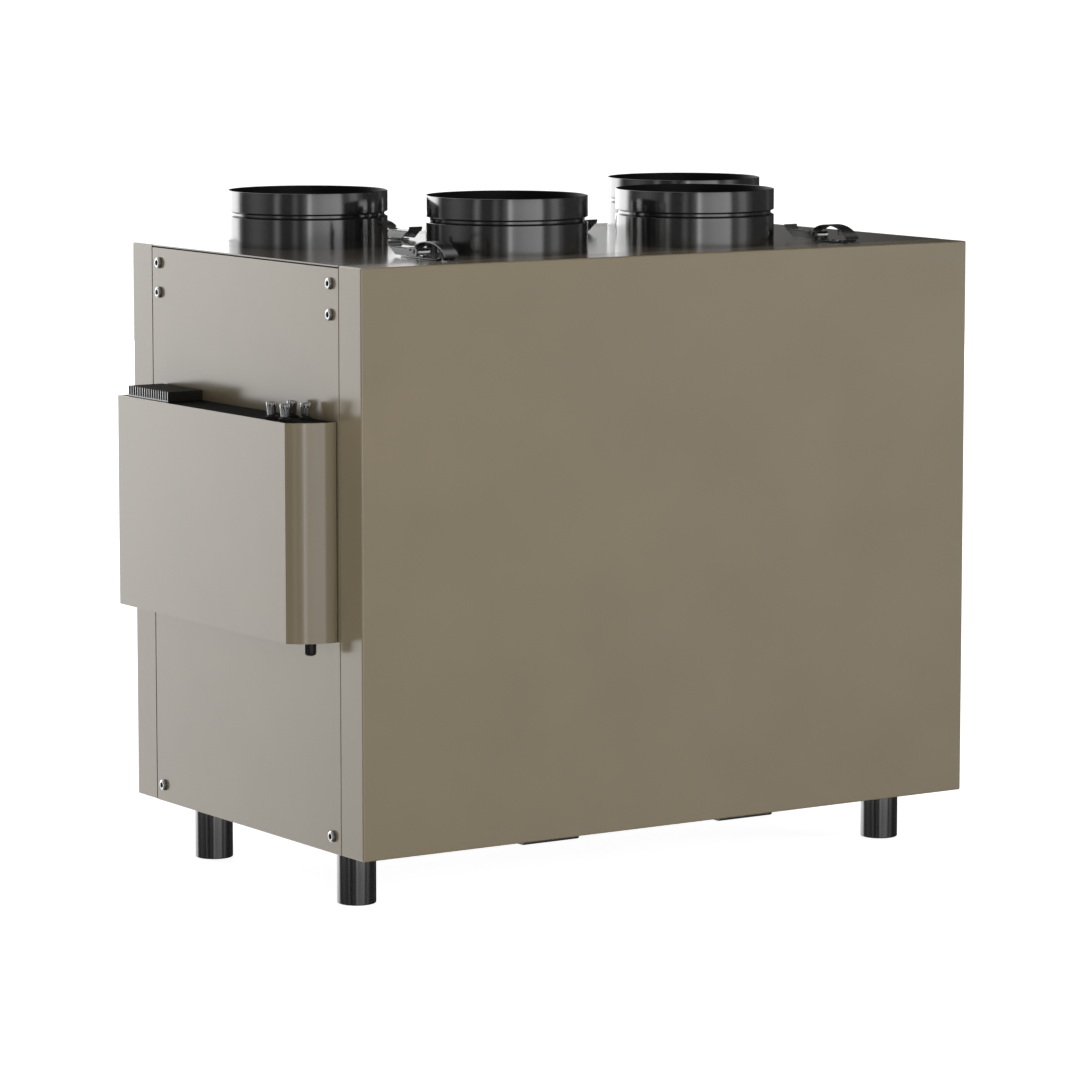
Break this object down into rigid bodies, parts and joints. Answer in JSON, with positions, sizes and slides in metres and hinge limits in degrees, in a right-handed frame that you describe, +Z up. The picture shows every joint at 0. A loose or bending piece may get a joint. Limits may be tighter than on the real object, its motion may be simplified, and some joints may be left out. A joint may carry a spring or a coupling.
{
  "type": "heat recovery ventilation unit",
  "caption": "Floor-standing box that exchanges heat between two air streams, with round duct collars on top, latched end covers and a control box on its side.",
  "frame": {"origin": "on the floor, in the middle of the unit's footprint, which includes the control box and the screw heads", "axes": "+X runs along the front from the control box side to the other side, +Y runs from the front cover to the rear cover, +Z is up"},
  "size_m": [0.961, 0.558, 0.847],
  "materials": {
    "metallic_paint": "satin",
    "dark_top_paint": "satin",
    "black_painted_steel": "satin",
    "black_latch_steel": "satin",
    "black_foot": "satin",
    "stainless_screw": "satin",
    "black_plastic": "gloss",
    "black_anodised_aluminium": "satin",
    "grey_foam": "matte",
    "exchanger_plates": "satin",
    "filter_fleece": "matte",
    "galvanised_steel": "satin",
    "circuit_board": "satin",
    "impeller_plastic": "satin"
  },
  "bodies": {
    "casing": {"base_tray": "black_painted_steel", "bypass_actuator": "black_plastic", "cable_gland_1": "black_plastic", "cable_gland_2": "black_plastic", "cable_gland_3": "black_plastic", "cable_gland_4": "black_plastic", "circuit_board": "circuit_board", "condensate_drain": "black_plastic", "condensate_tray": "black_plastic", "control_box_back": "metallic_paint", "control_box_cover": "metallic_paint", "control_box_top_plate": "black_plastic", "duct_spigot_front_left": "black_painted_steel", "duct_spigot_front_right": "black_painted_steel", "duct_spigot_rear_left": "black_painted_steel", "duct_spigot_rear_right": "black_painted_steel", "exhaust_fan_motor": "black_painted_steel", "exhaust_fan_scroll": "galvanised_steel", "extract_filter": "filter_fleece", "foam_core_lower": "grey_foam", "foam_core_upper": "grey_foam", "foot_front_left": "black_foot", "foot_front_right": "black_foot", "foot_rear_left": "black_foot", "foot_rear_right": "black_foot", "heat_exchanger_core": "exchanger_plates", "heat_sink": "black_anodised_aluminium", "latch_base_front_left": "black_latch_steel", "latch_base_front_right": "black_latch_steel", "latch_base_rear_left": "black_latch_steel", "latch_base_rear_right": "black_latch_steel", "left_side_panel": "metallic_paint", "right_side_panel": "metallic_paint", "side_screw_1": "stainless_screw", "side_screw_2": "stainless_screw", "side_screw_3": "stainless_screw", "side_screw_4": "stainless_screw", "side_screw_5": "stainless_screw", "side_screw_6": "stainless_screw", "supply_fan_motor": "black_painted_steel", "supply_fan_scroll": "galvanised_steel", "supply_filter": "filter_fleece", "top_panel": "dark_top_paint"},
    "front_cover": {"front_cover": "metallic_paint", "front_cover_insulation": "grey_foam"},
    "rear_cover": {"rear_cover": "metallic_paint", "rear_cover_insulation": "grey_foam"},
    "supply_fan_impeller": {"supply_fan_impeller": "impeller_plastic"},
    "exhaust_fan_impeller": {"exhaust_fan_impeller": "impeller_plastic"},
    "bypass_flap": {"bypass_flap": "impeller_plastic"},
    "service_button": {"service_button": "black_plastic"},
    "latch_lever_front_left": {"latch_lever_front_left": "black_latch_steel"},
    "latch_claw_front_left": {"latch_claw_front_left": "black_latch_steel"},
    "latch_lever_front_right": {"latch_lever_front_right": "black_latch_steel"},
    "latch_claw_front_right": {"latch_claw_front_right": "black_latch_steel"},
    "latch_lever_rear_left": {"latch_lever_rear_left": "black_latch_steel"},
    "latch_claw_rear_left": {"latch_claw_rear_left": "black_latch_steel"},
    "latch_lever_rear_right": {"latch_lever_rear_right": "black_latch_steel"},
    "latch_claw_rear_right": {"latch_claw_rear_right": "black_latch_steel"}
  },
  "joints": [
    {"name": "front_cover_tilt", "type": "hinge", "parent": "casing", "child": "front_cover", "pos_m": [0.02715, -0.2282, 0.07], "axis": [1, 0, 0], "range_deg": [0, 30]},
    {"name": "rear_cover_tilt", "type": "hinge", "parent": "casing", "child": "rear_cover", "pos_m": [0.02715, 0.2282, 0.07], "axis": [-1, 0, 0], "range_deg": [0, 30]},
    {"name": "latch_lever_front_left_lift", "type": "hinge", "parent": "casing", "child": "latch_lever_front_left", "pos_m": [-0.27085, -0.1684, 0.7864], "axis": [1, 0, 0], "range_deg": [0, 95]},
    {"name": "latch_claw_front_left_swing", "type": "hinge", "parent": "latch_lever_front_left", "child": "latch_claw_front_left", "pos_m": [-0.27085, -0.1604, 0.788], "axis": [1, 0, 0], "range_deg": [-123.5, 0]},
    {"name": "latch_lever_front_right_lift", "type": "hinge", "parent": "casing", "child": "latch_lever_front_right", "pos_m": [0.32515, -0.1684, 0.7864], "axis": [1, 0, 0], "range_deg": [0, 95]},
    {"name": "latch_claw_front_right_swing", "type": "hinge", "parent": "latch_lever_front_right", "child": "latch_claw_front_right", "pos_m": [0.32515, -0.1604, 0.788], "axis": [1, 0, 0], "range_deg": [-123.5, 0]},
    {"name": "latch_lever_rear_left_lift", "type": "hinge", "parent": "casing", "child": "latch_lever_rear_left", "pos_m": [-0.10685, 0.1684, 0.7864], "axis": [-1, 0, 0], "range_deg": [0, 95]},
    {"name": "latch_claw_rear_left_swing", "type": "hinge", "parent": "latch_lever_rear_left", "child": "latch_claw_rear_left", "pos_m": [-0.10685, 0.1604, 0.788], "axis": [-1, 0, 0], "range_deg": [-123.5, 0]},
    {"name": "latch_lever_rear_right_lift", "type": "hinge", "parent": "casing", "child": "latch_lever_rear_right", "pos_m": [0.16115, 0.1684, 0.7864], "axis": [-1, 0, 0], "range_deg": [0, 95]},
    {"name": "latch_claw_rear_right_swing", "type": "hinge", "parent": "latch_lever_rear_right", "child": "latch_claw_rear_right", "pos_m": [0.16115, 0.1604, 0.788], "axis": [-1, 0, 0], "range_deg": [-123.5, 0]},
    {"name": "supply_fan_spin", "type": "hinge", "parent": "casing", "child": "supply_fan_impeller", "pos_m": [-0.24485, 0.095, 0.221], "axis": [0, 1, 0], "continuous": true},
    {"name": "exhaust_fan_spin", "type": "hinge", "parent": "casing", "child": "exhaust_fan_impeller", "pos_m": [0.29915, 0.095, 0.221], "axis": [0, 1, 0], "continuous": true},
    {"name": "bypass_flap_turn", "type": "hinge", "parent": "casing", "child": "bypass_flap", "pos_m": [0.11515, 0.1895, 0.501], "axis": [1, 0, 0], "range_deg": [0, 90]},
    {"name": "service_button_press", "type": "slide", "parent": "casing", "child": "service_button", "axis": [0, 0, 1], "range_m": [0, 0.0025], "stiffness_N_per_m": 300, "springref_m": -0.002}
  ],
  "couplings": [
    {"joint": "latch_claw_front_left_swing", "follows": "latch_lever_front_left_lift", "ratio": -1.3},
    {"joint": "latch_claw_front_right_swing", "follows": "latch_lever_front_right_lift", "ratio": -1.3},
    {"joint": "latch_claw_rear_left_swing", "follows": "latch_lever_rear_left_lift", "ratio": -1.3},
    {"joint": "latch_claw_rear_right_swing", "follows": "latch_lever_rear_right_lift", "ratio": -1.3}
  ]
}
